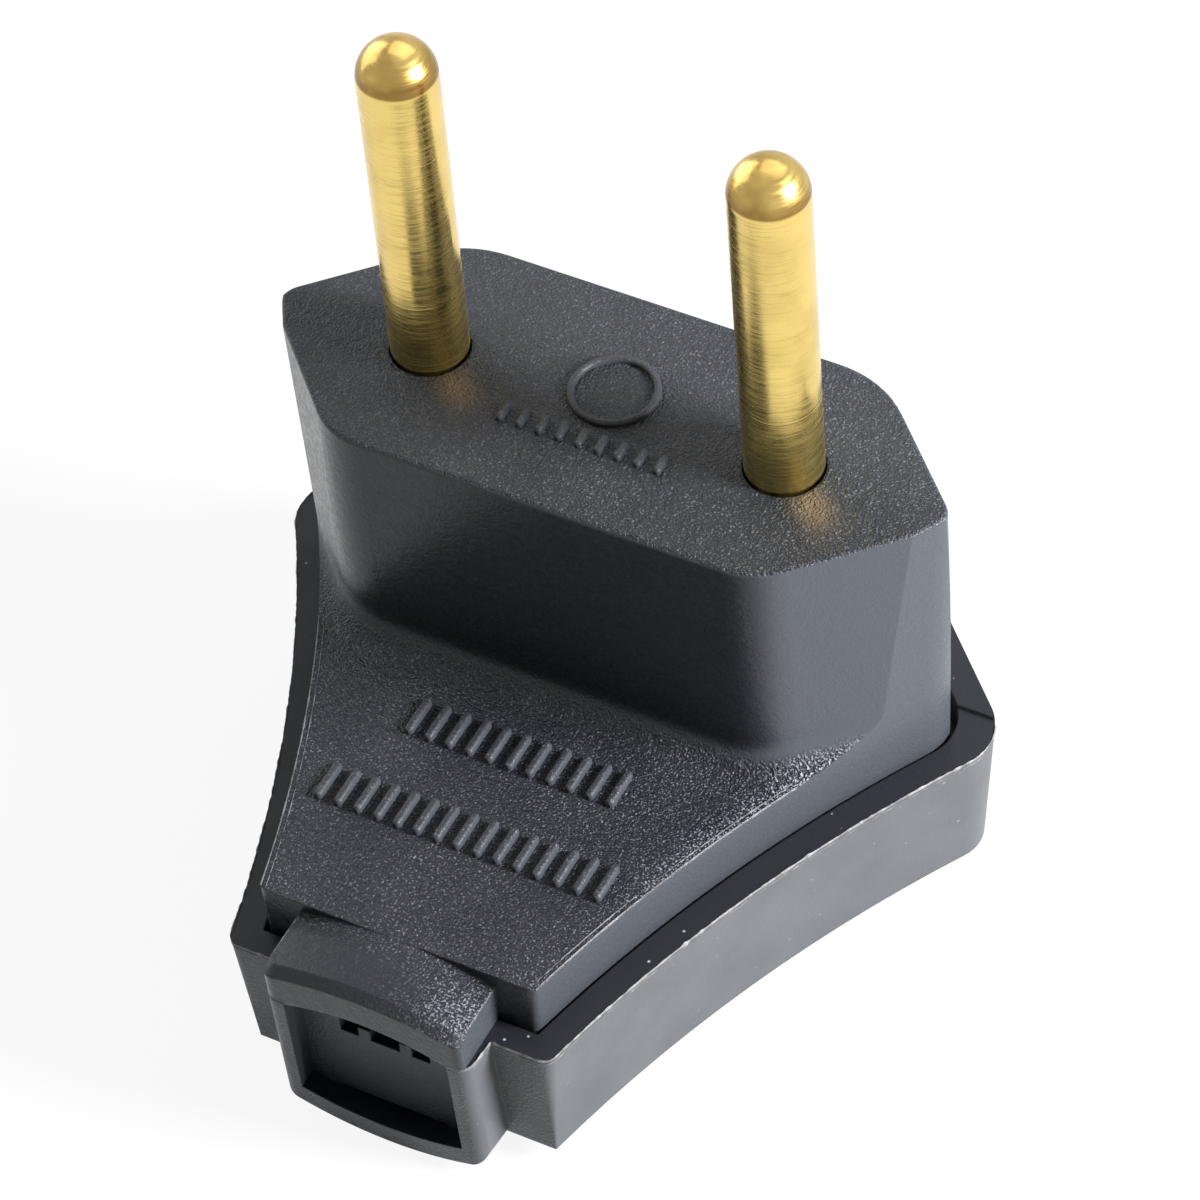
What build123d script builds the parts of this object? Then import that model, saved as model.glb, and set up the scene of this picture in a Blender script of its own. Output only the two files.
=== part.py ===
from build123d import *
import math
import os

os.makedirs("parts", exist_ok=True)

# Two-pin angled plug: the flat back lies on z = 0, the pins rise along +Z on y = 0,
# and the cord leaves towards -Y. Every length is in millimetres.

# Levels above the flat back
LEDGE_Z = 7.9
REAR_STEP = 0.2
REAR_STEP_Y = 2.7
PLATE_Z = 11.0
FACE_Z = 24.9
SKIRT_DEPTH = 2.0
SKIRT_Z = LEDGE_Z - SKIRT_DEPTH

# Contact pins
PIN_PITCH = 19.0
PIN_RADIUS = 1.95
PIN_LENGTH = 20.0
PIN_HOLE_GAP = 0.07
PIN_NECK_RADIUS = 1.75
PIN_NECK_REACH = 0.2
HEAD_RADIUS = 3.75
HEAD_LENGTH = 8.0
HEAD_GAP = 0.1
WIRE_HOLE_RADIUS = 1.4
WIRE_HOLE_DROP = 3.0

# Hexagonal pin block
HEX_REACH = 18.4
HEX_HALF_WIDTH = 7.05
HEX_TIP_RADIUS = 1.4
HEX_FRONT_RADIUS = 4.0
HEX_REAR_RADIUS = 5.8
FACE_WALL = 3.0
SIDE_WALL = 1.8
BLOCK_FOOT_RADIUS = 1.8
FACE_EDGE_RADIUS = 0.25
PIN_BOSS_RADIUS = 5.6
PIN_BOSS_LIFT = 1.0
WIRE_SLOT_WIDTH = 3.6
WIRE_SLOT_TOP_Z = 20.6

# Bell outline, with flanks struck from one centre on each side
FLANK_CENTRE_X = 88.25
FLANK_CENTRE_Y = -43.25
RIM_FLANK_RADIUS = 81.65
RIM_WALL = 1.5
RIM_REACH = 21.7
RIM_FOOT_Y = -24.93
RIM_TIP_RADIUS = 2.8
FIT_GAP = 0.18
TRAY_DRAFT = 4.5
TRAY_CORNER_RADIUS = 0.7

# Front body plate
PLATE_FOOT_Y = -23.42
PLATE_THICKNESS = 1.9
PLATE_CORNER_RADIUS = 0.5
FRONT_FLARE = 2.2

# Back shell
FLOOR = 1.8
SHELF_WIDTH = 1.3
CHAMBER_FOOT_Y = -21.0
HEAD_REST_OFFSET = 3.2
HEAD_REST_THICKNESS = 1.2
HEAD_REST_WIDTH = 4.0

# Cord outlet
TUBE_ROOT_Y = -24.0
MOUTH_FOOT_Y = -26.65
MOUTH_LEAN = 3.0
TUBE_ROOT_HALF_WIDTH = 5.7
TUBE_END_Y = -28.0
TUBE_END_HALF_WIDTH = 5.4
TUBE_CORNER_RADIUS = 0.8
MOUTH_CORNER_RADIUS = 0.8
BARREL_RISE = 1.1
RUN_OUT_LENGTH = 9.0
RUN_OUT_SKIN = 0.3
THROAT_HALF_WIDTH = 4.4
THROAT_FLOOR_Z = 0.85
THROAT_RISE = 0.7
THROAT_OVERRUN = 1.0
THROAT_ROOF_Z = 7.85
THROAT_ROOF_RISE = 0.85
TONGUE_HALF_WIDTH = 5.3
TONGUE_SIDE_Z = 10.2
TONGUE_CHAMFER = 0.5
GRIP_WALL_Y = -25.5
GRIP_WALL_THICKNESS = 1.0
GRIP_FOOT_Z = 0.5
GRIP_HORN_Z = 7.8
SADDLE_HALF_WIDTH = 2.45
SADDLE_Z = 5.8
NOTCH_DEPTH = 0.7
NOTCHES = ((-1.95, 1.0), (0.0, 1.6), (1.95, 1.0))
COUNTER_RIB_Y = -21.8
COUNTER_RIB_THICKNESS = 1.0
COUNTER_RIB_HALF_WIDTH = 4.2
COUNTER_RIB_Z = 6.4

# Screws
COVER_SCREW_Y = -11.0
COVER_SCREW_RADIUS = 1.45
COVER_SCREW_LENGTH = 7.6
COVER_HEAD_RADIUS = 2.8
COVER_HEAD_HEIGHT = 1.8
COVER_RECESS_RADIUS = 3.2
COVER_RECESS_DEPTH = 2.4
COVER_POST_RADIUS = 4.6
COVER_POST_Z = 4.6
COVER_PASSAGE_RADIUS = 1.7
COVER_BOSS_RADIUS = 3.2
COVER_PILOT_TOP_Z = 10.2
THREAD_GAP = 0.03
TERMINAL_SCREW_RADIUS = 1.5
TERMINAL_SCREW_LENGTH = 3.5
TERMINAL_HEAD_RADIUS = 2.4
TERMINAL_HEAD_HEIGHT = 1.8
DRIVE_SLOT_WIDTH = 0.7
DRIVE_SLOT_DEPTH = 0.8
SCREW_CHAMFER = 0.3

# Sizes that follow
SQRT2 = math.sqrt(2)
PIN_X = PIN_PITCH / 2
HEAD_TOP_Z = FACE_Z - FACE_WALL
HEAD_FOOT_Z = HEAD_TOP_Z - HEAD_LENGTH
PIN_BOSS_FOOT_Z = HEAD_FOOT_Z + PIN_BOSS_LIFT
WIRE_HOLE_Z = HEAD_TOP_Z - WIRE_HOLE_DROP
RIM_REAR_Y = HEX_HALF_WIDTH + (RIM_REACH - HEX_REACH) / SQRT2
TUBE_NARROWING = (TUBE_ROOT_HALF_WIDTH - TUBE_END_HALF_WIDTH) / (TUBE_ROOT_Y - TUBE_END_Y)
BEYOND = 5.0
TINY = 0.01


def flank_x(y, radius):
    """Half width of the bell at the height y."""
    return FLANK_CENTRE_X - math.sqrt(radius**2 - (y - FLANK_CENTRE_Y) ** 2)


def tip_point(radius, reach):
    """Point where the flank meets the rear slant, the line x + y = reach."""
    across = reach - FLANK_CENTRE_X
    half_sum = (across + FLANK_CENTRE_Y) / 2
    product = (across**2 + FLANK_CENTRE_Y**2 - radius**2) / 2
    y = half_sum + math.sqrt(half_sum**2 - product)
    return (reach - y, y)


def bell(foot_y, inset=0.0, foot_radius=0.0):
    """The tray's bell outline: concave flanks, slanted rear and rounded tips."""
    radius = RIM_FLANK_RADIUS + inset
    reach = RIM_REACH - inset * SQRT2
    rear_y = RIM_REAR_Y - inset
    tip_x, tip_y = tip_point(radius, reach)
    foot_x = flank_x(foot_y, radius)
    mid_y = (foot_y + tip_y) / 2
    mid_x = flank_x(mid_y, radius)
    rear_x = reach - rear_y
    with BuildSketch() as outline:
        with BuildLine():
            ThreePointArc((foot_x, foot_y), (mid_x, mid_y), (tip_x, tip_y))
            Polyline((tip_x, tip_y), (rear_x, rear_y), (-rear_x, rear_y), (-tip_x, tip_y))
            ThreePointArc((-tip_x, tip_y), (-mid_x, mid_y), (-foot_x, foot_y))
            Line((-foot_x, foot_y), (foot_x, foot_y))
        make_face()
        tips = outline.vertices().filter_by(lambda v: abs(v.Y - tip_y) < TINY)
        fillet(tips, RIM_TIP_RADIUS)
        if foot_radius > 0:
            fillet(outline.vertices().group_by(Axis.Y)[0], foot_radius)
    return outline.sketch


def hexagon(inset=0.0):
    """The pin block's outline, moved in by inset."""
    reach = HEX_REACH - inset * SQRT2
    half = HEX_HALF_WIDTH - inset
    shoulder = reach - half
    with BuildSketch() as outline:
        with BuildLine():
            Polyline(
                (-shoulder, -half), (shoulder, -half), (reach, 0),
                (shoulder, half), (-shoulder, half), (-reach, 0), close=True,
            )
        make_face()
        tips = outline.vertices().filter_by(lambda v: abs(v.Y) < TINY)
        fillet(tips, HEX_TIP_RADIUS - inset / 2)
        fillet(outline.vertices().group_by(Axis.Y)[0], HEX_FRONT_RADIUS - inset)
        fillet(outline.vertices().group_by(Axis.Y)[-1], HEX_REAR_RADIUS - inset)
    return outline.sketch


def trunk(z):
    """The bell that bounds the front body at the height z, where it flares a little."""
    flare = (z - LEDGE_Z) * math.tan(math.radians(FRONT_FLARE))
    return bell(PLATE_FOOT_Y, RIM_WALL + FIT_GAP - flare, PLATE_CORNER_RADIUS)


def bowed(start, end, rise):
    """A line from start to end that bows up by rise at its middle."""
    if rise == 0:
        return Line(start, end)
    middle = ((start[0] + end[0]) / 2, (start[1] + end[1]) / 2 + rise)
    return ThreePointArc(start, middle, end)


def barrel(half_width, foot_z, foot_rise, roof_z, roof_rise, corner_radius=0.0):
    """An upright section with straight sides, a bowed foot and a bowed roof."""
    with BuildSketch() as section:
        with BuildLine():
            bowed((-half_width, foot_z), (half_width, foot_z), -foot_rise)
            Line((half_width, foot_z), (half_width, roof_z))
            bowed((half_width, roof_z), (-half_width, roof_z), roof_rise)
            Line((-half_width, roof_z), (-half_width, foot_z))
        make_face()
        if corner_radius > 0:
            fillet(section.vertices().group_by(Axis.Y)[0], corner_radius)
    return section.sketch


# Leaning prism that ends both halves of the cord outlet, with rounded corners
lean = math.radians(MOUTH_LEAN)
mouth_plane = Plane(origin=(0, MOUTH_FOOT_Y, 0), x_dir=(1, 0, 0), z_dir=(0, -math.sin(lean), math.cos(lean)))
with BuildPart() as outlet_end:
    with BuildSketch(mouth_plane):
        with BuildSketch(Plane.XY) as outlet_plan:
            with BuildLine():
                depth = CHAMBER_FOOT_Y - MOUTH_FOOT_Y + BEYOND
                front_x = TUBE_ROOT_HALF_WIDTH - (TUBE_ROOT_Y - MOUTH_FOOT_Y) * TUBE_NARROWING
                rear_x = front_x + depth * TUBE_NARROWING
                Polyline((-front_x, 0), (front_x, 0), (rear_x, depth), (-rear_x, depth), close=True)
            make_face()
            fillet(outlet_plan.vertices().group_by(Axis.Y)[0], MOUTH_CORNER_RADIUS)
        add(outlet_plan.sketch)
    extrude(amount=PLATE_Z + BEYOND, both=True)


# The flaring bell that the front body fills
with BuildPart() as flaring_bell:
    with BuildSketch(Plane.XY.offset(SKIRT_Z)):
        add(trunk(SKIRT_Z))
    with BuildSketch(Plane.XY.offset(FACE_Z)):
        add(trunk(FACE_Z))
    loft(ruled=True)


# Tube for the cord, narrowing a little towards its mouth
with BuildPart() as tube:
    with BuildSketch(Plane.XZ.offset(-TUBE_ROOT_Y)):
        add(barrel(TUBE_ROOT_HALF_WIDTH, 0, BARREL_RISE, LEDGE_Z, 0, TUBE_CORNER_RADIUS))
    with BuildSketch(Plane.XZ.offset(-TUBE_END_Y)):
        add(barrel(TUBE_END_HALF_WIDTH, 0, BARREL_RISE, LEDGE_Z, 0, TUBE_CORNER_RADIUS))
    loft()
    add(outlet_end.part, mode=Mode.INTERSECT)


# Tongue over the cord, bevelled along the top of its end
with BuildPart() as tongue:
    with BuildSketch(Plane.XZ.offset(-CHAMBER_FOOT_Y)):
        add(barrel(TONGUE_HALF_WIDTH, LEDGE_Z, 0, TONGUE_SIDE_Z, PLATE_Z - TONGUE_SIDE_Z))
    extrude(amount=BEYOND * 2)
    add(outlet_end.part, mode=Mode.INTERSECT)
    chamfer(tongue.faces().sort_by(Axis.Y)[0].edges().sort_by(Axis.Z)[-1], TONGUE_CHAMFER)


# Back shell: a drafted tray with a ledge round the plate and the tube for the cord
with BuildPart() as back_shell:
    with BuildSketch(Plane.XY.offset(LEDGE_Z)):
        add(bell(RIM_FOOT_Y, foot_radius=TRAY_CORNER_RADIUS))
    extrude(amount=-LEDGE_Z, taper=TRAY_DRAFT)

    # The rear half of the ledge stands a little higher
    with BuildSketch(Plane.XY.offset(LEDGE_Z)):
        add(bell(RIM_FOOT_Y))
        with Locations((0, REAR_STEP_Y + RIM_REACH)):
            Rectangle(RIM_REACH * 2, RIM_REACH * 2, mode=Mode.INTERSECT)
    extrude(amount=REAR_STEP)

    add(tube.part)

    # The bowed underside of the tube runs out into the flat back
    with BuildSketch(Plane.XZ.offset(-TUBE_ROOT_Y)):
        add(barrel(TUBE_ROOT_HALF_WIDTH - TUBE_CORNER_RADIUS, 0, BARREL_RISE, RUN_OUT_SKIN, 0))
    extrude(amount=math.hypot(RUN_OUT_LENGTH, BARREL_RISE), dir=(0, RUN_OUT_LENGTH, BARREL_RISE))

    # Slot for the front body's skirt, the shelf under it and the wiring chamber
    with BuildSketch(Plane.XY.offset(SKIRT_Z)):
        add(bell(PLATE_FOOT_Y - FIT_GAP, RIM_WALL))
    extrude(amount=SKIRT_DEPTH + BEYOND, mode=Mode.SUBTRACT)
    with BuildSketch(Plane.XY.offset(FLOOR)):
        add(bell(CHAMBER_FOOT_Y, RIM_WALL + SHELF_WIDTH))
    extrude(amount=LEDGE_Z, mode=Mode.SUBTRACT)

    # Throat from the mouth to the chamber
    with BuildSketch(Plane.XZ.offset(-CHAMBER_FOOT_Y - THROAT_OVERRUN)):
        add(barrel(THROAT_HALF_WIDTH, THROAT_FLOOR_Z, THROAT_RISE, LEDGE_Z + BEYOND, 0))
    extrude(amount=CHAMBER_FOOT_Y - MOUTH_FOOT_Y + BEYOND, mode=Mode.SUBTRACT)

    # Grip wall across the throat, with a notched saddle for the cord
    with BuildSketch(Plane.XZ.offset(-GRIP_WALL_Y - GRIP_WALL_THICKNESS)):
        add(barrel(TUBE_END_HALF_WIDTH - TUBE_CORNER_RADIUS, GRIP_FOOT_Z, 0, GRIP_HORN_Z, 0))
        with Locations((0, SADDLE_Z + BEYOND)):
            Rectangle(SADDLE_HALF_WIDTH * 2, BEYOND * 2, mode=Mode.SUBTRACT)
        for centre, width in NOTCHES:
            with Locations((centre, SADDLE_Z)):
                Rectangle(width, NOTCH_DEPTH * 2, mode=Mode.SUBTRACT)
    extrude(amount=GRIP_WALL_THICKNESS)

    # Rests that hold the pins' heads up in the front body
    with BuildSketch(Plane.XY.offset(FLOOR)):
        with GridLocations(PIN_PITCH, HEAD_REST_OFFSET * 2, 2, 2):
            Rectangle(HEAD_REST_WIDTH, HEAD_REST_THICKNESS)
    extrude(amount=HEAD_FOOT_Z - FLOOR)

    # Post and recess of the cover screw
    with BuildSketch(Plane.XY.offset(FLOOR)):
        with Locations((0, COVER_SCREW_Y)):
            Circle(COVER_POST_RADIUS)
    extrude(amount=COVER_POST_Z - FLOOR)
    with Locations(Plane(origin=(0, COVER_SCREW_Y, 0), z_dir=(0, 0, -1))):
        CounterBoreHole(COVER_PASSAGE_RADIUS, COVER_RECESS_RADIUS, COVER_RECESS_DEPTH, COVER_POST_Z)

back_shell.part.label = "back_shell"
export_step(back_shell.part, "parts/back_shell.step")


# Front body: the pin block, the plate round its foot and the tongue over the cord
with BuildPart() as front_body:
    with BuildSketch(Plane.XY.offset(SKIRT_Z)):
        Rectangle(RIM_REACH * 2, -RIM_FOOT_Y * 2)
    extrude(amount=PLATE_Z - SKIRT_Z)
    with BuildSketch(Plane.XY.offset(PLATE_Z)):
        add(hexagon())
    extrude(amount=FACE_Z - PLATE_Z)
    block_foot = front_body.edges().filter_by_position(Axis.Z, PLATE_Z - TINY, PLATE_Z + TINY)
    block_foot = block_foot.filter_by_position(Axis.X, -HEX_REACH, HEX_REACH)
    block_foot = block_foot.filter_by_position(Axis.Y, -HEX_HALF_WIDTH - TINY, HEX_HALF_WIDTH + TINY)
    fillet(block_foot, BLOCK_FOOT_RADIUS)

    # Behind the pin line the block's own walls run down into the tray
    with BuildSketch(Plane.XY.offset(SKIRT_Z)):
        add(hexagon())
        with Locations((0, RIM_FOOT_Y / 2)):
            Rectangle(RIM_REACH * 2, -RIM_FOOT_Y)
    extrude(amount=FACE_Z - SKIRT_Z, mode=Mode.INTERSECT)
    add(flaring_bell.part, mode=Mode.INTERSECT)
    fillet(front_body.edges().group_by(Axis.Z)[-1], FACE_EDGE_RADIUS)

    add(tongue.part)

    # Hollow under the plate and inside the block
    with BuildSketch(Plane.XY.offset(SKIRT_Z)):
        add(bell(CHAMBER_FOOT_Y, RIM_WALL + FIT_GAP + SIDE_WALL))
    extrude(amount=PLATE_Z - PLATE_THICKNESS - SKIRT_Z, mode=Mode.SUBTRACT)
    with BuildSketch(Plane.XY.offset(SKIRT_Z)):
        add(hexagon(SIDE_WALL))
    extrude(amount=HEAD_TOP_Z - SKIRT_Z, mode=Mode.SUBTRACT)

    # Throat under the tongue
    with BuildSketch(Plane.XZ.offset(-CHAMBER_FOOT_Y - THROAT_OVERRUN)):
        add(barrel(THROAT_HALF_WIDTH, THROAT_FLOOR_Z, 0, THROAT_ROOF_Z, THROAT_ROOF_RISE))
    extrude(amount=BEYOND * 2, mode=Mode.SUBTRACT)

    # Bosses round the pins' heads, slotted inwards for the wires
    with BuildSketch(Plane.XY.offset(PIN_BOSS_FOOT_Z)):
        with GridLocations(PIN_PITCH, 0, 2, 1):
            Circle(PIN_BOSS_RADIUS)
        add(hexagon(SIDE_WALL / 2), mode=Mode.INTERSECT)
    extrude(amount=HEAD_TOP_Z - PIN_BOSS_FOOT_Z)
    with BuildSketch(Plane.XY.offset(PIN_BOSS_FOOT_Z)):
        with GridLocations(PIN_PITCH, 0, 2, 1):
            Circle(HEAD_RADIUS + HEAD_GAP)
    extrude(amount=HEAD_TOP_Z - PIN_BOSS_FOOT_Z, mode=Mode.SUBTRACT)
    with BuildSketch(Plane.XY.offset(PIN_BOSS_FOOT_Z)):
        Rectangle(PIN_PITCH, WIRE_SLOT_WIDTH)
    extrude(amount=WIRE_SLOT_TOP_Z - PIN_BOSS_FOOT_Z, mode=Mode.SUBTRACT)
    with BuildSketch(Plane.XY.offset(HEAD_TOP_Z)):
        with GridLocations(PIN_PITCH, 0, 2, 1):
            Circle(PIN_RADIUS + PIN_HOLE_GAP)
    extrude(amount=FACE_WALL, mode=Mode.SUBTRACT)

    # Boss for the cover screw and the rib that bends the cord over the grip wall
    with BuildSketch(Plane.XY.offset(COVER_POST_Z)):
        with Locations((0, COVER_SCREW_Y)):
            Circle(COVER_BOSS_RADIUS)
    extrude(amount=PLATE_Z - PLATE_THICKNESS - COVER_POST_Z)
    with BuildSketch(Plane.XY.offset(COVER_POST_Z)):
        with Locations((0, COVER_SCREW_Y)):
            Circle(COVER_SCREW_RADIUS + THREAD_GAP)
    extrude(amount=COVER_PILOT_TOP_Z - COVER_POST_Z, mode=Mode.SUBTRACT)
    with BuildSketch(Plane.XY.offset(COUNTER_RIB_Z)):
        with Locations((0, COUNTER_RIB_Y)):
            Rectangle(COUNTER_RIB_HALF_WIDTH * 2, COUNTER_RIB_THICKNESS)
    extrude(amount=PLATE_Z - PLATE_THICKNESS - COUNTER_RIB_Z)

front_body.part.label = "front_body"
export_step(front_body.part, "parts/front_body.step")


# Contact pins, turned with a round nose and a drilled head
for side, pin_x in (("left", -PIN_X), ("right", PIN_X)):
    with BuildPart() as pin:
        with BuildSketch(Plane(origin=(pin_x, 0, 0), x_dir=(1, 0, 0), z_dir=(0, -1, 0))):
            with BuildLine():
                nose_z = FACE_Z + PIN_LENGTH
                cheek_z = nose_z - PIN_RADIUS
                neck_z = FACE_Z + PIN_NECK_REACH
                Polyline(
                    (0, HEAD_FOOT_Z), (HEAD_RADIUS, HEAD_FOOT_Z), (HEAD_RADIUS, HEAD_TOP_Z),
                    (PIN_NECK_RADIUS, HEAD_TOP_Z), (PIN_NECK_RADIUS, neck_z),
                    (PIN_RADIUS, neck_z), (PIN_RADIUS, cheek_z),
                )
                RadiusArc((PIN_RADIUS, cheek_z), (0, nose_z), -PIN_RADIUS)
                Line((0, nose_z), (0, HEAD_FOOT_Z))
            make_face()
        revolve(axis=Axis((pin_x, 0, 0), (0, 0, 1)))
        with BuildSketch(Plane.YZ.offset(pin_x)):
            with Locations((0, WIRE_HOLE_Z)):
                Circle(WIRE_HOLE_RADIUS)
        extrude(amount=HEAD_RADIUS, both=True, mode=Mode.SUBTRACT)
        with BuildSketch(Plane.XY.offset(HEAD_FOOT_Z)):
            with Locations((pin_x, 0)):
                Circle(TERMINAL_SCREW_RADIUS + THREAD_GAP)
        extrude(amount=WIRE_HOLE_Z - HEAD_FOOT_Z, mode=Mode.SUBTRACT)
    pin.part.label = side + "_pin"
    export_step(pin.part, "parts/" + side + "_pin.step")


# Terminal screws, driven up into the pins' heads from behind
for side, pin_x in (("left", -PIN_X), ("right", PIN_X)):
    with BuildPart() as terminal_screw:
        with BuildSketch(Plane.XY.offset(HEAD_FOOT_Z - TERMINAL_HEAD_HEIGHT)):
            with Locations((pin_x, 0)):
                Circle(TERMINAL_HEAD_RADIUS)
        extrude(amount=TERMINAL_HEAD_HEIGHT)
        chamfer(terminal_screw.edges().group_by(Axis.Z)[0], SCREW_CHAMFER)
        with BuildSketch(Plane.XY.offset(HEAD_FOOT_Z)):
            with Locations((pin_x, 0)):
                Circle(TERMINAL_SCREW_RADIUS)
        extrude(amount=TERMINAL_SCREW_LENGTH)
        chamfer(terminal_screw.edges().group_by(Axis.Z)[-1], SCREW_CHAMFER)
        with BuildSketch(Plane.XY.offset(HEAD_FOOT_Z - TERMINAL_HEAD_HEIGHT)):
            with Locations((pin_x, 0)):
                Rectangle(DRIVE_SLOT_WIDTH, TERMINAL_HEAD_RADIUS * 2)
        extrude(amount=DRIVE_SLOT_DEPTH, mode=Mode.SUBTRACT)
    terminal_screw.part.label = side + "_terminal_screw"
    export_step(terminal_screw.part, "parts/" + side + "_terminal_screw.step")


# Cover screw, sunk in the back
with BuildPart() as cover_screw:
    with BuildSketch(Plane.XY.offset(COVER_RECESS_DEPTH - COVER_HEAD_HEIGHT)):
        with Locations((0, COVER_SCREW_Y)):
            Circle(COVER_HEAD_RADIUS)
    extrude(amount=COVER_HEAD_HEIGHT)
    chamfer(cover_screw.edges().group_by(Axis.Z)[0], SCREW_CHAMFER)
    with BuildSketch(Plane.XY.offset(COVER_RECESS_DEPTH)):
        with Locations((0, COVER_SCREW_Y)):
            Circle(COVER_SCREW_RADIUS)
    extrude(amount=COVER_SCREW_LENGTH)
    chamfer(cover_screw.edges().group_by(Axis.Z)[-1], SCREW_CHAMFER)
    with BuildSketch(Plane.XY.offset(COVER_RECESS_DEPTH - COVER_HEAD_HEIGHT)):
        with Locations((0, COVER_SCREW_Y)):
            Rectangle(COVER_HEAD_RADIUS * 2, DRIVE_SLOT_WIDTH)
            Rectangle(DRIVE_SLOT_WIDTH, COVER_HEAD_RADIUS * 2)
    extrude(amount=DRIVE_SLOT_DEPTH, mode=Mode.SUBTRACT)

cover_screw.part.label = "cover_screw"
export_step(cover_screw.part, "parts/cover_screw.step")
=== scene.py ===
"""Looks of an angled plug with round brass pins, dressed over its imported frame.

Lengths are metres in the frame of the CAD: the flat back lies on z = 0, the pins rise
along +Z and the cord outlet points towards -Y.
"""

import logging
import math
from dataclasses import dataclass
from enum import Enum
from typing import Iterable, Sequence

import bmesh
import bpy
from mathutils import Matrix, Vector, noise


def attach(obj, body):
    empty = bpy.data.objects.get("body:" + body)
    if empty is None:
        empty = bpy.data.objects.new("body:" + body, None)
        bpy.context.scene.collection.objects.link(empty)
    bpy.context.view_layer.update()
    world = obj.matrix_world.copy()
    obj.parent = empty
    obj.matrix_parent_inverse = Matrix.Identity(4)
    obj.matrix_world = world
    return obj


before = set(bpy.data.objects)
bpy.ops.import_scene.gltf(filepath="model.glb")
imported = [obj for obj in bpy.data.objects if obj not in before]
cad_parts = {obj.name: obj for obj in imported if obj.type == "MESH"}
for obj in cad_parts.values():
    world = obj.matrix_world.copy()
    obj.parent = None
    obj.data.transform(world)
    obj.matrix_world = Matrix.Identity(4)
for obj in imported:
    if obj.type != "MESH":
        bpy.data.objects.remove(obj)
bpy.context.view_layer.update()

LOG = logging.getLogger("angled_plug")

Point = tuple[float, float]
Span = tuple[float, float]
Colour = tuple[float, float, float]

MM = 0.001
FACE_Z = 24.9 * MM
PLATE_Z = 11.0 * MM
PIN_X = 9.5 * MM

# The flanks of the plate and of the tray are arcs round this point and its mirror image
FLANK_CENTRE: Point = (88.25 * MM, -43.25 * MM)
PLATE_RADIUS = 83.21 * MM
TRAY_RADIUS = 81.65 * MM

# How deep raised relief is sunk in what carries it
RELIEF_FOOT = 0.05 * MM


def rgba(colour: Colour) -> tuple[float, float, float, float]:
    """Returns the colour with full alpha."""
    return (*colour, 1.0)


class Field:
    """A socket of a node tree, with arithmetic written as Python expressions."""

    def __init__(self, graph: "Graph", socket: bpy.types.NodeSocket) -> None:
        """Args:
            graph: the node tree that the socket belongs to.
            socket: the output socket.
        """
        self.graph = graph
        self.socket = socket

    def maths(self, operation: str, *values: "Field | float") -> "Field":
        """Adds a Math node.

        Args:
            operation: the node's operation, such as MULTIPLY.
            values: what goes into its inputs, in order.

        Returns:
            The node's result.
        """
        return self.graph.node(
            "ShaderNodeMath", {"operation": operation}, dict(enumerate(values))
        )

    def __add__(self, other: "Field | float") -> "Field":
        """Returns the sum."""
        return self.maths("ADD", self, other)

    def __sub__(self, other: "Field | float") -> "Field":
        """Returns the difference."""
        return self.maths("SUBTRACT", self, other)

    def __rsub__(self, other: float) -> "Field":
        """Returns a number less this value."""
        return self.maths("SUBTRACT", other, self)

    def __mul__(self, other: "Field | float") -> "Field":
        """Returns the product."""
        return self.maths("MULTIPLY", self, other)

    def __pow__(self, other: float) -> "Field":
        """Returns the power."""
        return self.maths("POWER", self, other)

    def __abs__(self) -> "Field":
        """Returns the size without its sign."""
        return self.maths("ABSOLUTE", self)

    def hypot(self, other: "Field") -> "Field":
        """Returns the length of the two values taken as legs of a right angle."""
        return (self * self + other * other) ** 0.5

    def larger(self, other: "Field | float") -> "Field":
        """Returns the larger of the two."""
        return self.maths("MAXIMUM", self, other)

    def smaller(self, other: "Field | float") -> "Field":
        """Returns the smaller of the two."""
        return self.maths("MINIMUM", self, other)

    def ramp(self, low: float, high: float, start: float = 0.0, end: float = 1.0) -> "Field":
        """Eases from start to end while the value goes from low to high.

        Args:
            low: the value at which the result is start.
            high: the value at which the result is end.
            start: the result at and below low.
            end: the result at and above high.

        Returns:
            The eased value.
        """
        return self.graph.node(
            "ShaderNodeMapRange", {"interpolation_type": "SMOOTHSTEP"},
            {"Value": self, "From Min": low, "From Max": high, "To Min": start, "To Max": end},
        )

    def band(self, middle: float, half_width: float) -> "Field":
        """Returns 1 at the middle, easing to 0 at half_width on either side."""
        return abs(self - middle).ramp(0.0, half_width, 1.0, 0.0)


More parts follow.
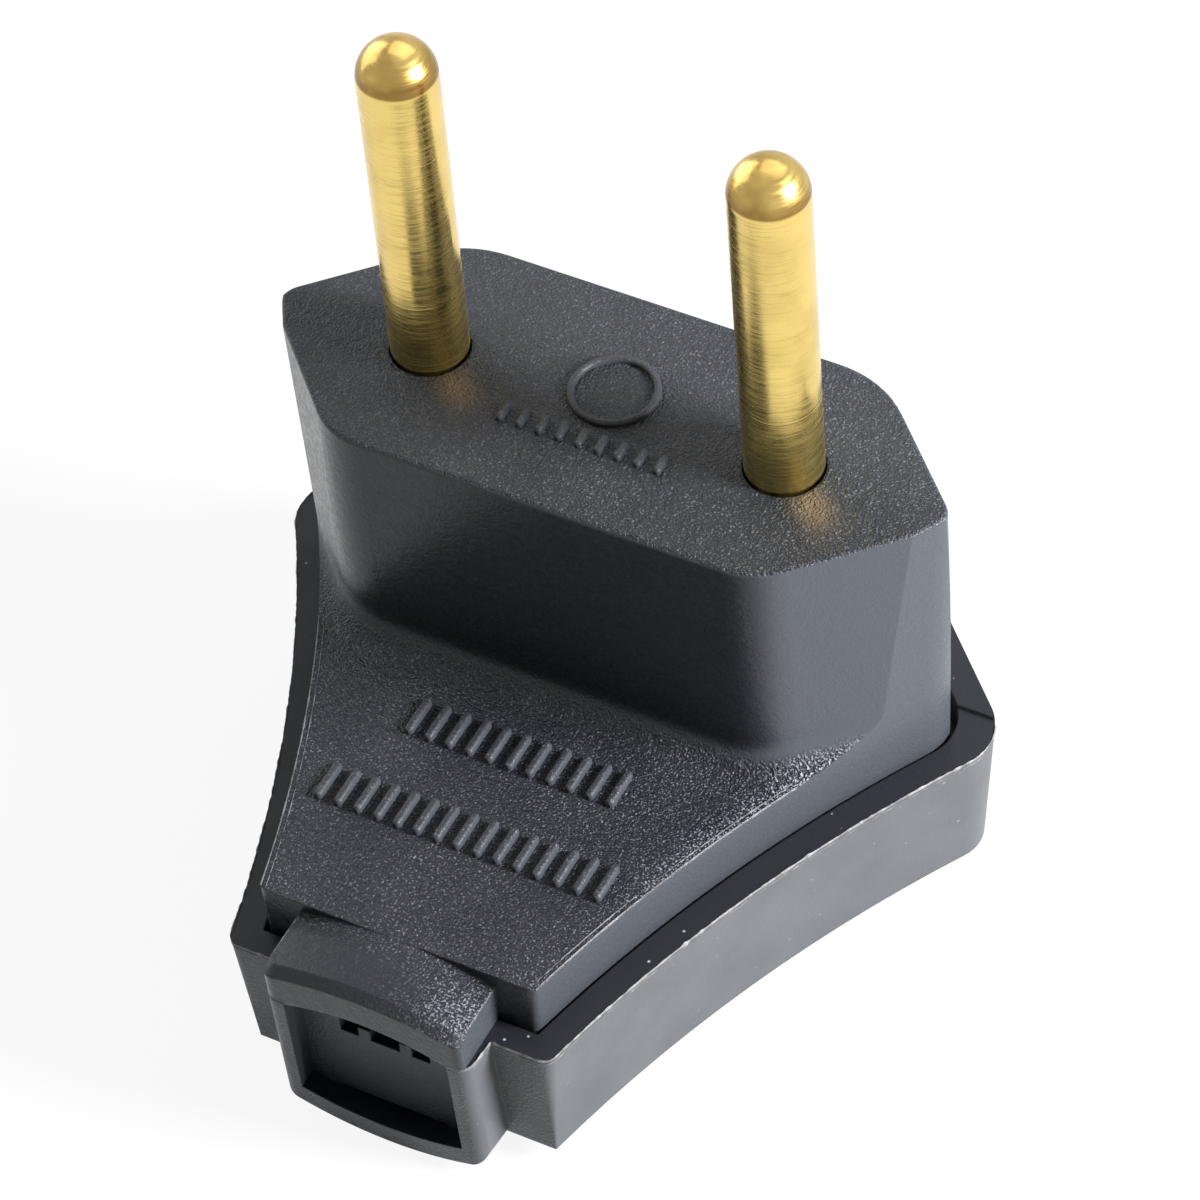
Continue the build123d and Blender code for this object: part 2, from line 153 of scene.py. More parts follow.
class Graph:
    """The node tree of one material or of the world."""

    def __init__(self, tree: bpy.types.NodeTree) -> None:
        """Args:
            tree: the tree, which is emptied first.
        """
        self.tree = tree
        tree.nodes.clear()

    def node(
        self, kind: str, settings: dict | None = None, values: dict | None = None,
        output: int | str = 0,
    ) -> Field:
        """Adds any node.

        Args:
            kind: the node's type.
            settings: its properties, set first.
            values: its inputs by index or name, each a number, a colour or a Field.
            output: the output that is wanted.

        Returns:
            That output as a Field.
        """
        return Field(self, self.add(kind, settings or {}, values or {}).outputs[output])

    def add(self, kind: str, settings: dict, values: dict) -> bpy.types.Node:
        """Adds a node, sets its properties and fills its inputs."""
        node = self.tree.nodes.new(kind)
        for name, value in settings.items():
            setattr(node, name, value)
        for key, value in values.items():
            if isinstance(value, Field):
                self.tree.links.new(value.socket, node.inputs[key])
            else:
                node.inputs[key].default_value = value
        return node

    def end(self, kind: str, surface_shader: Field) -> None:
        """Ends the tree in an output node of that kind."""
        self.add(kind, {}, {"Surface": surface_shader})

    def place(self) -> Field:
        """Returns the point's place in the frame, in metres."""
        return self.node("ShaderNodeTexCoord", output="Object")

    def split(self, vector: Field) -> tuple[Field, Field, Field]:
        """Returns the vector's x, y and z."""
        first = self.node("ShaderNodeSeparateXYZ", values={0: vector})
        outputs = first.socket.node.outputs
        return (first, Field(self, outputs[1]), Field(self, outputs[2]))

    def join(self, x: Field | float, y: Field | float, z: Field | float) -> Field:
        """Returns a vector made of three values."""
        return self.node("ShaderNodeCombineXYZ", values={0: x, 1: y, 2: z})

    def facing(self) -> tuple[Field, Field, Field]:
        """Returns the surface normal's x, y and z."""
        return self.split(self.node("ShaderNodeNewGeometry", output="Normal"))

    def noise(self, vector: Field, grain: float, detail: float = 2.0) -> Field:
        """Adds soft noise.

        Args:
            vector: the place it is read at.
            grain: the size of its patches in metres.
            detail: how many finer layers it has.

        Returns:
            The noise, from 0 to 1 round a mean of 0.5.
        """
        return self.node(
            "ShaderNodeTexNoise", values={"Vector": vector, "Scale": 1 / grain, "Detail": detail}
        )

    def specks(self, vector: Field, spacing: float, reach: float) -> Field:
        """Adds scattered specks.

        Args:
            vector: the place they are read at.
            spacing: the mean distance between them in metres.
            reach: the speck's radius as a share of the spacing.

        Returns:
            1 in a speck's middle and 0 outside it.
        """
        distance = self.node(
            "ShaderNodeTexVoronoi", values={"Vector": vector, "Scale": 1 / spacing}
        )
        return distance.ramp(reach * 0.4, reach, 1.0, 0.0)

    def chance(self, vector: Field, spacing: float) -> Field:
        """Returns a random value from 0 to 1 for each cell of that spacing."""
        colour = self.node(
            "ShaderNodeTexVoronoi", values={"Vector": vector, "Scale": 1 / spacing}, output="Color"
        )
        return self.split(colour)[0]

    def blend(self, share: Field | float, low: "Field | Colour", high: "Field | Colour") -> Field:
        """Mixes two colours.

        Args:
            share: how much of the second colour there is.
            low: the colour at share 0.
            high: the colour at share 1.

        Returns:
            The mixed colour.
        """
        first = low if isinstance(low, Field) else rgba(low)
        second = high if isinstance(high, Field) else rgba(high)
        return self.node(
            "ShaderNodeMix", {"data_type": "RGBA"}, {0: share, 6: first, 7: second}, output=2
        )

    def soft_edge(self, reach: float) -> Field:
        """Returns the normal of a surface whose edges are rounded over that reach."""
        return self.node("ShaderNodeBevel", {"samples": 4}, {"Radius": reach})

    def bump(self, height: Field, depth: float, base: Field | None = None) -> Field:
        """Raises a surface.

        Args:
            height: how far each point rises, as a share of depth.
            depth: the rise in metres where height is 1.
            base: the normal that it starts from, or None for the surface's own.

        Returns:
            The raised surface's normal.
        """
        values: dict = {"Strength": 1.0, "Distance": depth, "Height": height}
        if base is not None:
            values["Normal"] = base
        return self.node("ShaderNodeBump", values=values)


@dataclass(frozen=True)
class Gloss:
    """Settings that are the same all over a surface."""

    specular: float = 0.5
    metallic: float = 0.0


def surface(
    graph: Graph, colour: Field, roughness: Field | float, normal: Field, gloss: Gloss
) -> None:
    """Ends a material's tree in one principled shader.

    Args:
        graph: the material's tree.
        colour: what feeds Base Color.
        roughness: what feeds Roughness.
        normal: what feeds Normal.
        gloss: the constant settings.
    """
    shader = graph.node("ShaderNodeBsdfPrincipled", values={
        "Base Color": colour,
        "Roughness": roughness,
        "Metallic": gloss.metallic,
        "Specular IOR Level": gloss.specular,
        "Normal": normal,
    })
    graph.end("ShaderNodeOutputMaterial", shader)


def new_material(name: str) -> tuple[bpy.types.Material, Graph]:
    """Returns a new material and its empty tree."""
    material = bpy.data.materials.new(name)
    material.use_nodes = True
    return material, Graph(material.node_tree)


@dataclass(frozen=True)
class SparkErodedPlastic:
    """Charcoal moulding with the leathery grain that a spark-eroded mould leaves.

    Each Span is a range over which one effect sets in or fades out, but for the two of the
    brass reflections, which give a painted reflection's middle and how far it reaches from there.
    """

    name: str = "spark_eroded_plastic"
    # the darker upward-face tone and the paler wall tone, split by facing, are painted shade and
    # painted light
    dark: Colour = (0.007, 0.009, 0.0135)
    wall: Colour = (0.043, 0.048, 0.056)
    # painted glint: this pale tone on the grain's crests stands in for lamp glints
    spark: Colour = (0.26, 0.27, 0.31)
    # warm tone of the painted reflection of the brass pins on the face
    brass_reflection_tone: Colour = (0.13, 0.092, 0.055)
    grain: float = 0.125 * MM
    relief: float = 0.22 * MM
    edge_reach: float = 0.16 * MM
    cloud_size: float = 5 * MM
    face_span: Span = (FACE_Z - MM, FACE_Z - 0.2 * MM)
    face_pale_y: Span = (-4 * MM, 5 * MM)
    glint_side_x: Span = (-14 * MM, 10 * MM)
    tongue_y: float = -23.9 * MM
    tongue_smooth_x: Span = (-1 * MM, 3.5 * MM)
    tongue_wear_glint_x: Span = (1.5 * MM, 4.5 * MM)
    wear_glint_reach: float = 2.0 * MM
    wear_glint_x: Span = (-4 * MM, 4 * MM)
    wear_glint_y: Span = (-20 * MM, -11 * MM)
    wear_glint_z: Span = (13 * MM, 15 * MM)
    brass_reflection_direction: Point = (0.75, 0.66)
    brass_reflection_along: Span = (2.9 * MM, 2.6 * MM)
    brass_reflection_across: Span = (0.2 * MM, 1.5 * MM)
    gloss: Gloss = Gloss(specular=0.25)

    def brass_reflections(self, x: Field, y: Field) -> Field:
        """Returns the painted reflection of the brass pins on the face beside them, from 0 to 1."""
        marks = []
        cosine, sine = self.brass_reflection_direction
        for pin_x in (-PIN_X, PIN_X):
            along = (x - pin_x) * cosine - y * sine
            across = (x - pin_x) * sine + y * cosine
            marks.append(along.band(*self.brass_reflection_along) * across.band(*self.brass_reflection_across))
        return marks[0].larger(marks[1])

    def wear_and_glints(self, x: Field, y: Field, z: Field, on_tongue: Field) -> Field:
        """Finds where use has polished the grain, painted as extra glints that are stronger to the
        right.

        Args:
            x: the point's place across the plug.
            y: its place along the plug.
            z: its height.
            on_tongue: 1 on the tongue and 0 elsewhere.

        Returns:
            The polished grain along the plate's edges and at the tongue's right corner, which
            carries painted glints, from 0 to 1.
        """
        from_edge = (abs(x) - FLANK_CENTRE[0]).hypot(y - FLANK_CENTRE[1]) - PLATE_RADIUS
        worn = abs(from_edge).ramp(0.0, self.wear_glint_reach, 1.0, 0.0)
        worn = worn * z.ramp(*self.wear_glint_z, 1.0, 0.0)
        worn = worn * y.ramp(*self.wear_glint_y, 0.15, 1.0) * x.ramp(*self.wear_glint_x, 0.3, 1.0)
        return worn.larger(on_tongue * x.ramp(*self.tongue_wear_glint_x, 0.0, 0.8))

    def build(self) -> bpy.types.Material:
        """Returns the finished material."""
        material, graph = new_material(self.name)
        place = graph.place()
        x, y, z = graph.split(place)
        facing = graph.facing()
        upward = facing[2].ramp(0.35, 0.85)
        cordward = facing[1].ramp(-0.97, -0.8, 0.55, 0.0) * (1 - upward)
        on_face = z.ramp(*self.face_span)
        on_tongue = y.ramp(self.tongue_y - MM, self.tongue_y, 1.0, 0.0)
        rough = upward * (1 - on_tongue * x.ramp(*self.tongue_smooth_x, 0.75, 0.2))
        # worn grain shown partly as painted glints, stronger to the right where the lamp is
        worn = self.wear_and_glints(x, y, z, on_tongue)
        cloud = graph.noise(place, self.cloud_size, 3)
        leather = graph.noise(place, self.grain, 1)
        coarse = graph.noise(place, self.grain * 2.6, 2)
        ragged = graph.noise(place, self.grain * 0.9, 0)
        grains = leather * 0.5 + ragged * 0.5 + worn * 0.07
        # painted glints on the grain's crests, stronger to the right towards the right lamp and
        # weaker on the face
        glint_crests = grains.ramp(0.57, 0.68) * (cloud.ramp(0.25, 0.7, 0.4, 1.0) + worn * 0.9)
        glint_side = x.ramp(*self.glint_side_x, 0.34, 0.5) * (1 - on_face * 0.35)
        # painted light and shade: upright walls take the paler tone and upward faces the darker one
        tone = graph.blend(upward, self.wall, self.dark)
        tone = graph.blend(cloud.ramp(0.3, 0.8) * 0.2, tone, self.wall)
        # painted shade: walls facing the cord are darkened
        tone = graph.blend(cordward, tone, self.dark)
        tone = graph.blend(on_face * y.ramp(*self.face_pale_y, 0.1, 0.4), tone, self.wall)
        tone = graph.blend((glint_crests * rough * glint_side).smaller(1.0), tone, self.spark)
        # painted reflection of the brass pins on the face
        tone = graph.blend(self.brass_reflections(x, y) * on_face * 0.7, tone, self.brass_reflection_tone)
        roughness = upward.ramp(0.0, 1.0, 0.22, 0.40) + coarse.ramp(0.3, 0.7, 0.0, 0.12)
        height = (leather * 0.6 + coarse * 0.6) * rough.ramp(0.0, 1.0, 0.12, 1.0)
        normal = graph.bump(height, self.relief, graph.soft_edge(self.edge_reach))
        surface(graph, tone, roughness, normal, self.gloss)
        return material


@dataclass(frozen=True)
class SmoothPlastic:
    """Grey-black moulding with a soft sheen; its outer walls are painted paler than its ledge as
    painted light.
    """

    name: str = "smooth_plastic"
    dark: Colour = (0.010, 0.0115, 0.015)
    wall: Colour = (0.076, 0.081, 0.089)
    grey: Colour = (0.18, 0.185, 0.20)
    dust: Colour = (0.42, 0.42, 0.44)
    grain: float = 0.15 * MM
    relief: float = 0.09 * MM
    edge_reach: float = 0.12 * MM
    cloud_size: float = 4 * MM
    small_dust: float = 0.8 * MM
    large_dust: float = 1.9 * MM
    throat_x: Span = (4.45 * MM, 4.5 * MM)
    throat_y: float = -24.3 * MM
    throat_reach: Span = (1.8 * MM, 2.2 * MM)
    throat_z: Span = (1.5 * MM, 7 * MM)
    gloss: Gloss = Gloss(specular=0.18)

    def shade(self, graph: Graph, place: Field) -> Field:
        """Returns the painted shade inside the mouth, most at its floor, from 0 to 1."""
        x, y, z = graph.split(place)
        inside = abs(x).ramp(*self.throat_x, 1.0, 0.0)
        inside = inside * abs(y - self.throat_y).ramp(*self.throat_reach, 1.0, 0.0)
        return inside * z.ramp(*self.throat_z, 0.9, 0.3)

    def dust_specks(self, graph: Graph, place: Field) -> Field:
        """Returns scattered specks of dust of two sizes, from 0 to 1."""
        small = graph.specks(place, self.small_dust, 0.12)
        small = small * graph.chance(place, self.small_dust).ramp(0.55, 0.7)
        large = graph.specks(place, self.large_dust, 0.06)
        large = large * graph.chance(place, self.large_dust).ramp(0.4, 0.5)
        return (small * 0.7 + large).smaller(1.0)

    def build(self) -> bpy.types.Material:
        """Returns the finished material."""
        material, graph = new_material(self.name)
        place = graph.place()
        facing = graph.facing()
        upright = abs(facing[2]).ramp(0.25, 0.6, 1.0, 0.0)
        cordward = facing[1].ramp(-0.97, -0.85, 1.0, 0.12)
        cloud = graph.noise(place, self.cloud_size, 3)
        fine = graph.noise(place, self.grain, 2)
        specks = self.dust_specks(graph, place) * (1 - upright * 0.75)
        # painted light: upright walls are paler than the ledge
        tone = graph.blend(upright, self.dark, self.wall)
        tone = graph.blend(cloud.ramp(0.3, 0.8) * 0.15, tone, self.dark)
        tone = graph.blend(fine.ramp(0.55, 0.72) * cordward * upright * 0.3, tone, self.grey)
        tone = graph.blend(specks, tone, self.dust)
        # painted shade inside the mouth
        tone = graph.blend(self.shade(graph, place), tone, self.dark)
        roughness = cloud.ramp(0.3, 0.7, 0.38, 0.5)
        normal = graph.bump(fine * cordward, self.relief, graph.soft_edge(self.edge_reach))
        surface(graph, tone, roughness, normal, self.gloss)
        return material


@dataclass(frozen=True)
class TurnedBrass:
    """Brass with fine rings of turning, scratches of use, a dull root with some painted reflection
    and a nose darkened by painted reflection.
    """

    name: str = "turned_brass"
    bright: Colour = (0.86, 0.64, 0.21)
    dull: Colour = (0.56, 0.41, 0.12)
    # dark tone of the scored loops and of the root, whose darkening is partly painted reflection of
    # the dark face
    tarnish_and_dark_reflection: Colour = (0.40, 0.32, 0.10)
    reflection_brown: Colour = (0.30, 0.18, 0.05)
    ring_pitch: float = 0.10 * MM
    relief: float = 0.004 * MM
    cloud_size: float = 2.5 * MM
    root_reach: float = 5.5 * MM
    root_waver: float = 3 * MM
    shoulder_z: float = 43.1 * MM
    shoulder_reach: float = 0.1 * MM
    nose_reflection_reach: float = 0.9 * MM
    loops_z: float = 29.4 * MM
    loops_reach: float = 1.9 * MM
    loop_pitch: float = 0.22 * MM
    loop_slope: float = 1.6 * MM
    loop_turn: float = 6 * MM
    gloss: Gloss = Gloss(specular=0.5, metallic=1.0)

    def nose_dark_reflection(self, z: Field, cloud: Field) -> Field:
        """Returns the nose's painted dark reflection, most at its shoulder, from 0 to 1."""
        shoulder_end = self.shoulder_z + self.shoulder_reach
        nose = z.ramp(self.shoulder_z - self.shoulder_reach, shoulder_end, 0.0, 1.0)
        patches = cloud.ramp(0.35, 0.65, 0.4, 0.8)
        return (nose * (patches + z.band(self.shoulder_z, self.nose_reflection_reach) * 0.5)).smaller(1.0)

    def scoring(self, graph: Graph, x: Field, y: Field, z: Field) -> Field:
        """Returns the slanting loops that a socket's contacts have scored, from 0 to 1."""
        slope = graph.noise(graph.join(x, y, z * 0.3), self.loop_turn, 0) * self.loop_slope
        loops = graph.noise(graph.join(0.0, 0.0, z + slope), self.loop_pitch, 2)
        return loops.ramp(0.56, 0.66) * z.band(self.loops_z, self.loops_reach)

    def build(self) -> bpy.types.Material:
        """Returns the finished material."""
        material, graph = new_material(self.name)
        place = graph.place()
        x, y, z = graph.split(place)
        rings = graph.noise(graph.join(x * 0.05, y * 0.05, z), self.ring_pitch, 3)
        scratches = graph.noise(graph.join(x * 0.12, y * 0.12, z), self.ring_pitch * 2.2, 2)
        cloud = graph.noise(place, self.cloud_size, 3)
        worn = (cloud.ramp(0.4, 0.75) * 0.5 + rings.ramp(0.52, 0.72) * 0.4).smaller(1.0)
        height_up = z + (cloud - 0.5) * self.root_waver
        root = height_up.ramp(FACE_Z, FACE_Z + self.root_reach, 0.75, 0.0)
        scored = self.scoring(graph, x, y, z)
        tone = graph.blend(worn, self.bright, self.dull)
        # the darker root is partly real dulling and partly a painted reflection of the dark face
        tone = graph.blend(root, tone, self.tarnish_and_dark_reflection)
        # painted reflection: the nose is darkened as if mirroring a dark room
        tone = graph.blend(self.nose_dark_reflection(z, cloud), tone, self.reflection_brown)
        tone = graph.blend(scored * 0.7, tone, self.tarnish_and_dark_reflection)
        roughness = rings.ramp(0.35, 0.7, 0.18, 0.34) + root * 0.08
        relief = graph.bump(rings * 0.6 + scratches + scored * 1.5, self.relief)
        surface(graph, tone, roughness, relief, self.gloss)
        return material


@dataclass(frozen=True)
class PlatedSteel:
    """Zinc-plated steel of the screws."""

    name: str = "plated_steel"
    bright: Colour = (0.62, 0.62, 0.64)
    dull: Colour = (0.40, 0.40, 0.41)
    patch: float = 0.8 * MM
    grain: float = 0.08 * MM
    relief: float = 0.003 * MM
    gloss: Gloss = Gloss(specular=0.5, metallic=1.0)

    def build(self) -> bpy.types.Material:
        """Returns the finished material."""
        material, graph = new_material(self.name)
        place = graph.place()
        cloud = graph.noise(place, self.patch, 3)
        fine = graph.noise(place, self.grain, 2)
        tone = graph.blend(cloud.ramp(0.3, 0.7), self.bright, self.dull)
        roughness = fine.ramp(0.3, 0.7, 0.25, 0.42)
        surface(graph, tone, roughness, graph.bump(fine, self.relief), self.gloss)
        return material


@dataclass(frozen=True)
class PaleFlash:
    """The thin greyish plastic squeezed out between two mould halves."""

    name: str = "pale_flash"
    pale: Colour = (0.16, 0.16, 0.165)
    grey: Colour = (0.08, 0.08, 0.085)
    patch: float = 0.7 * MM
    grain: float = 0.1 * MM
    relief: float = 0.01 * MM
    roughness: float = 0.55
    gloss: Gloss = Gloss()

    def build(self) -> bpy.types.Material:
        """Returns the finished material."""
        material, graph = new_material(self.name)
        place = graph.place()
        patches = graph.noise(place, self.patch, 3)
        fine = graph.noise(place, self.grain, 1)
        share = (patches * 0.7 + fine * 0.3).ramp(0.42, 0.62)
        tone = graph.blend(share, self.grey, self.pale)
        surface(graph, tone, self.roughness, graph.bump(fine, self.relief), self.gloss)
        return material


class Lamp(Enum):
    """The studio's soft boxes: each one's name, place, side and power in watts."""

    TOP = ("top_box", (-0.02, 0.26, 0.46), 0.45, 0.8)
    LEFT = ("left_box", (-0.28, 0.06, 0.14), 0.28, 0.6)
    RIGHT = ("right_box", (0.17, 0.018, 0.11), 0.06, 1.35)


@dataclass
class Studio:
    """A pale floor, soft boxes, a white surround and the camera of the photograph."""

    camera_place: tuple[float, float, float] = (98.295 * MM, -161.995 * MM, 227.493 * MM)
    camera_target: tuple[float, float, float] = (-1.347 * MM, 0.0, 10.126 * MM)
    camera_roll: float = math.radians(-5.511)
    lens_mm: float = 174.98
    sensor_mm: float = 36.0
    clip_start: float = 0.01
    floor_z: float = -1.1 * MM
    floor_reach: float = 1.2
    ambient: float = 0.06
    shadow_share: float = 0.10

    def build(self) -> None:
        """Builds the floor, the lamps, the surround and the camera."""
        self.set_camera()
        self.set_lamps()
        self.set_world()
        self.lay_floor()
        bpy.context.scene.view_settings.view_transform = "Standard"

    def set_camera(self) -> None:
        """Puts the camera where the photograph was taken."""
        data = bpy.data.cameras.new("photo_camera")
        data.sensor_width = self.sensor_mm
        data.lens = self.lens_mm
        data.clip_start = self.clip_start
        camera = bpy.data.objects.new("photo_camera", data)
        bpy.context.scene.collection.objects.link(camera)
        place = Vector(self.camera_place)
        look = Vector(self.camera_target) - place
        level = look.to_track_quat("-Z", "Y").to_matrix().to_4x4()
        roll = Matrix.Rotation(self.camera_roll, 4, "Z")
        camera.matrix_world = Matrix.Translation(place) @ level @ roll
        bpy.context.scene.camera = camera

    def set_lamps(self) -> None:
        """Hangs the soft boxes, each turned to the object."""
        for lamp in Lamp:
            name, place, side, power = lamp.value
            data = bpy.data.lights.new(name, "AREA")
            data.size = side
            data.energy = power
            box = bpy.data.objects.new(name, data)
            box.location = place
            box.rotation_euler = (-Vector(place)).to_track_quat("-Z", "Y").to_euler()
            bpy.context.scene.collection.objects.link(box)

    def seen_share(self, graph: Graph) -> Field:
        """Returns 1 for what the camera, a gloss or glass sees, and 0 for light."""
        camera = graph.node("ShaderNodeLightPath", output="Is Camera Ray")
        glossy = graph.node("ShaderNodeLightPath", output="Is Glossy Ray")
        through = graph.node("ShaderNodeLightPath", output="Is Transmission Ray")
        return camera.larger(glossy).larger(through)

    def set_world(self) -> None:
        """Makes the surround white where it is seen and dim where it only lights."""
        world = bpy.data.worlds.new("surround")
        world.use_nodes = True
        bpy.context.scene.world = world
        graph = Graph(world.node_tree)
        strength = self.seen_share(graph).ramp(0.0, 1.0, self.ambient, 1.0)
        values = {"Color": rgba((1, 1, 1)), "Strength": strength}
        glow = graph.node("ShaderNodeBackground", values=values)
        graph.end("ShaderNodeOutputWorld", glow)

    def lay_floor(self) -> None:
        """Lays the floor, white where it is seen but for the object's shadow."""
        mesh = bpy.data.meshes.new("floor")
        reach = self.floor_reach
        corners = [(-reach, -reach), (reach, -reach), (reach, reach), (-reach, reach)]
        mesh.from_pydata([(x, y, self.floor_z) for x, y in corners], [], [(0, 1, 2, 3)])
        floor = bpy.data.objects.new("floor", mesh)
        bpy.context.scene.collection.objects.link(floor)
        material, graph = new_material("floor_paper")
        paper = graph.node("ShaderNodeBsdfDiffuse", values={"Color": rgba((0.8, 0.8, 0.8))})
        white = graph.node("ShaderNodeEmission", values={"Color": rgba((1, 1, 1)), "Strength": 1.0})
        share = self.seen_share(graph) * (1 - self.shadow_share)
        mixed = graph.node("ShaderNodeMixShader", values={0: share, 1: paper, 2: white})
        graph.end("ShaderNodeOutputMaterial", mixed)
        mesh.materials.append(material)


def new_piece(
    name: str, mesh: bmesh.types.BMesh, material: bpy.types.Material
) -> None:
    """Turns a mesh in the making into a piece that rides on the body.

    Args:
        name: the piece's name.
        mesh: the mesh, which is freed.
        material: its material.
    """
    data = bpy.data.meshes.new(name)
    mesh.normal_update()
    mesh.to_mesh(data)
    mesh.free()
    data.materials.append(material)
    piece = bpy.data.objects.new(name, data)
    bpy.context.scene.collection.objects.link(piece)
    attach(piece, "root")
    LOG.info("piece %s has %d faces", name, len(data.polygons))


def dress(node: str, material: bpy.types.Material) -> None:
    """Gives a CAD node a material.

    Args:
        node: the node's name.
        material: its new material.
    """
    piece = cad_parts[node]
    for slot in piece.material_slots:
        slot.material = material
    LOG.info("node %s wears %s", node, material.name)


def rounded(before: Point, corner: Point, after: Point, radius: float) -> list[Point]:
    """Rounds a corner of a path.

    Args:
        before: the point before the corner.
        corner: the corner itself.
        after: the point after it.
        radius: the arc's radius.

    Returns:
        The points of the arc that takes the corner's place.
    """
    steps = 8
    middle = Vector(corner)
    first = (Vector(before) - middle).normalized()
    second = (Vector(after) - middle).normalized()
    half = first.angle(second) / 2
    start = middle + first * radius / math.tan(half)
    end = middle + second * radius / math.tan(half)
    centre = middle + (first + second).normalized() * radius / math.sin(half)
    points = []
    for step in range(steps + 1):
        share = step / steps
        arm = (start.lerp(end, share) - centre).normalized() * radius
        points.append(tuple(centre + arm))
    return points


def flank_x(y: float, radius: float) -> float:
    """Returns the half width at y of the flank that has that radius."""
    across, along = FLANK_CENTRE
    return across - math.sqrt(radius**2 - (y - along) ** 2)


def dense_path(corners: Sequence[Point], step_length: float) -> list[tuple[Vector, Vector]]:
    """Walks a path in small steps.

    Args:
        corners: the path's corners.
        step_length: the length of a step.

    Returns:
        Each step's point and the direction of the path there.
    """
    walk = []
    for start, end in zip(corners, corners[1:]):
        first, last = Vector(start), Vector(end)
        count = max(1, round((last - first).length / step_length))
        along = (last - first).normalized()
        walk += [(first.lerp(last, step / count), along) for step in range(count)]
    return walk


@dataclass(frozen=True)
class Strand:
    """A thin ragged line along an edge, such as flash or a ridge painted pale as an edge highlight.

    It lies under the edge by drop and inside it by inset. Its size wavers round mean_size
    less gaps. On the right side it has a larger burr at each y in burrs.
    """

    name: str
    drop: float
    width: float
    height: float
    gaps: float
    inset: float = 0.0
    raggedness: float = 1.0
    burrs: tuple[float, ...] = ()
    burr_size: float = 1.3
    burr_reach: float = 0.3 * MM
    mean_size: float = 0.65
    least_size: float = 0.02
    step_length: float = 0.09 * MM
    rough_grain: float = 0.35 * MM
    slow_grain: float = 2.2 * MM

    def size(self, point: Vector, side: int) -> float:
        """Returns the size at a point of the path, as a share of the strand's full size."""
        rough_place = Vector((point.x, point.y, side * MM + self.drop * 9))
        slow_place = Vector((point.x, point.y, self.drop * 5))
        rough = noise.noise(rough_place / self.rough_grain)
        slow = noise.noise(slow_place / self.slow_grain)
        waver = self.raggedness * (0.8 * rough + 0.6 * slow)
        size = max(self.least_size, self.mean_size - self.gaps + waver)
        if self.burrs and side > 0:
            reach = min(abs(point.y - burr) for burr in self.burrs)
            size += self.burr_size * max(0.0, 1 - reach / self.burr_reach)
        return size

    def section(self, point: Vector, across: Vector, top_z: float, size: float) -> list[Vector]:
        """Returns the four corners of the strand's section at a point of its path."""
        point = point - across * self.inset
        out = point + across * self.width * 0.4 * size
        back = point - across * self.width * (0.65 * size if self.drop == 0 else 0.3)
        low = top_z - self.height * 0.9
        high = top_z + self.height * size
        return [
            Vector((out.x, out.y, low)), Vector((out.x, out.y, top_z)),
            Vector((point.x, point.y, high)), Vector((back.x, back.y, low)),
        ]

    def build(
        self, corners: Sequence[Point], edge_z: float, side: int,
        material: bpy.types.Material, record_slot: str,
    ) -> None:
        """Builds the strand along one side's edge.

        Args:
            corners: the path of the edge, on that side.
            edge_z: the edge's height.
            side: 1 for the right and -1 for the left.
            material: the strand's material.
            record_slot: not used.
        """
        mesh = bmesh.new()
        previous: list[bmesh.types.BMVert] = []
        for point, along in dense_path(corners, self.step_length):
            across = Vector((along.y, -along.x)) * side
            size = self.size(point, side)
            section = self.section(point, across, edge_z - self.drop, size)
            ring = [mesh.verts.new(corner) for corner in section]
            for first in range(len(previous)):
                second = (first + 1) % len(ring)
                mesh.faces.new((previous[first], previous[second], ring[second], ring[first]))
            previous = ring
        bmesh.ops.recalc_face_normals(mesh, faces=mesh.faces)
        name = self.name + ("_right" if side > 0 else "_left")
        new_piece(name, mesh, material)


